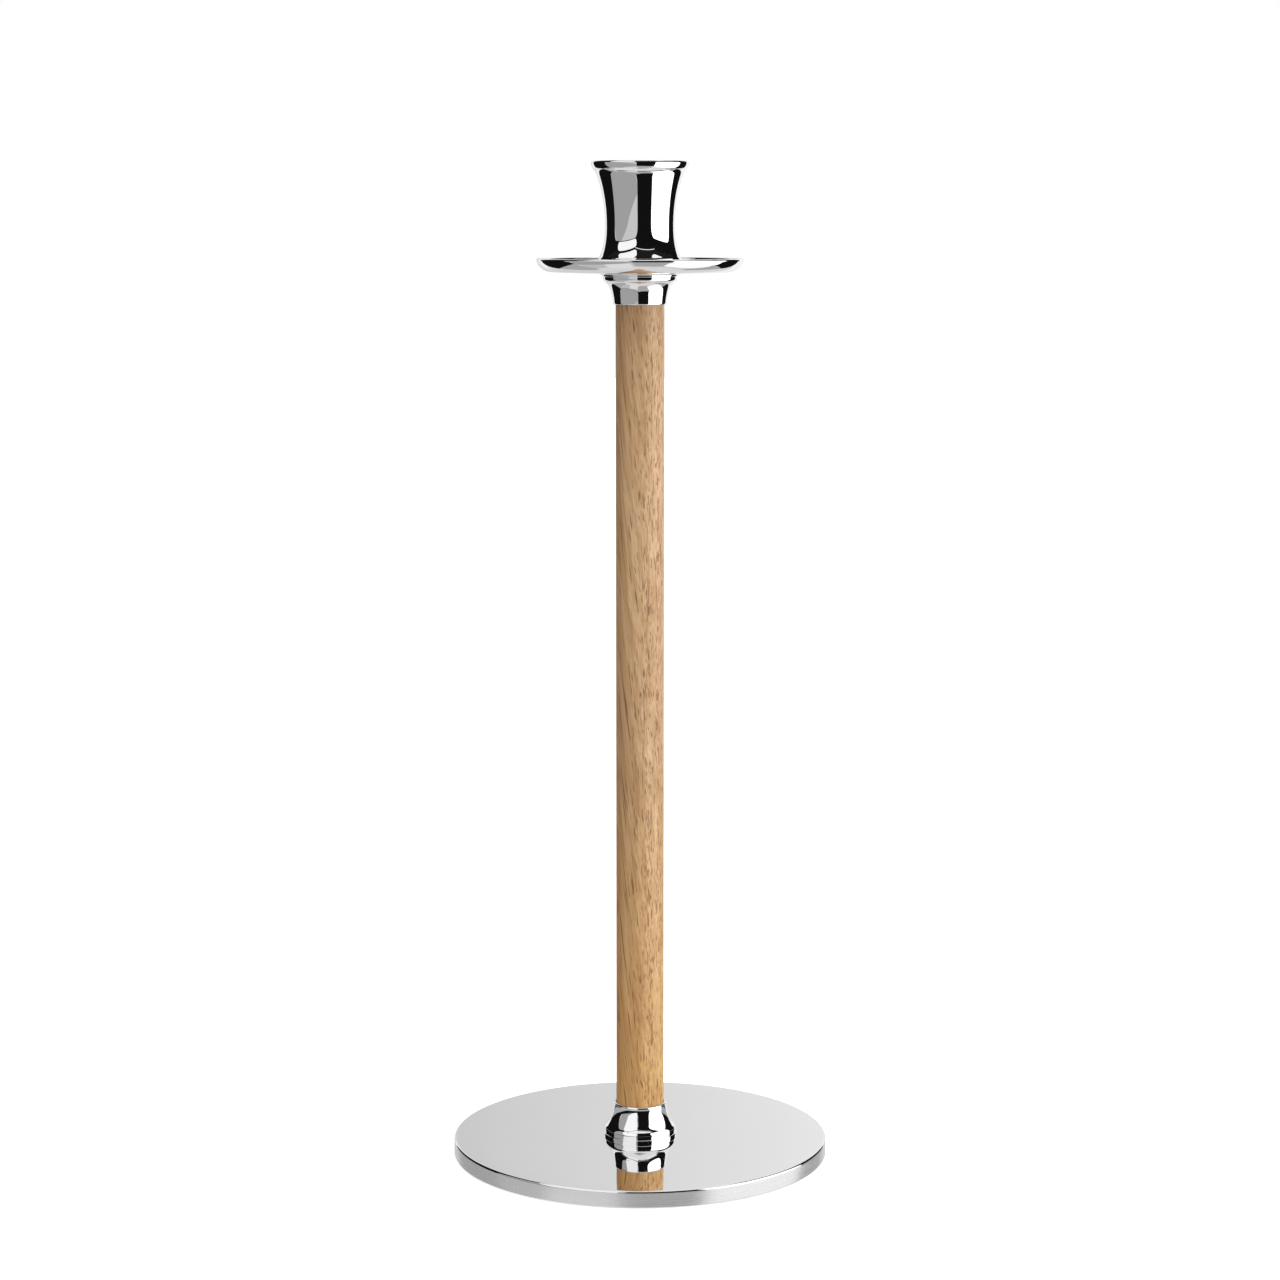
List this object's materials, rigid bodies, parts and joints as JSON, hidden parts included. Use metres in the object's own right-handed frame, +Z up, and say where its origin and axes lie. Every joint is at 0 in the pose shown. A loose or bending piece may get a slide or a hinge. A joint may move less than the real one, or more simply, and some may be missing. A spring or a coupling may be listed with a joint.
{
  "type": "candlestick",
  "caption": "Tall candlestick: oak column between polished ferrules on a flat round base, with a drip pan and a flared candle cup.",
  "frame": {"origin": "on the surface it stands on, at the middle of the felt under the base", "axes": "+Z up along the column's axis; the object is round, so X and Y are interchangeable"},
  "size_m": [0.15, 0.15, 0.3958],
  "materials": {
    "mirror_steel": "mirror polished top, satin rim",
    "polished_chrome": "mirror polished",
    "oak": "fine sanded, oiled",
    "felt": "pressed felt",
    "zinc_steel": "zinc plated",
    "brass": "machined",
    "fibre": "vulcanised fibre sheet"
  },
  "bodies": {
    "root": {"base_plate": "mirror_steel", "felt_pad": "felt", "base_screw": "zinc_steel", "lower_ferrule": "polished_chrome", "column": "oak", "lower_insert": "brass", "upper_insert": "brass", "upper_ferrule": "polished_chrome", "top_stud": "zinc_steel", "drip_pan": "polished_chrome", "pan_washer": "fibre", "candle_cup": "polished_chrome"}
  },
  "joints": []
}
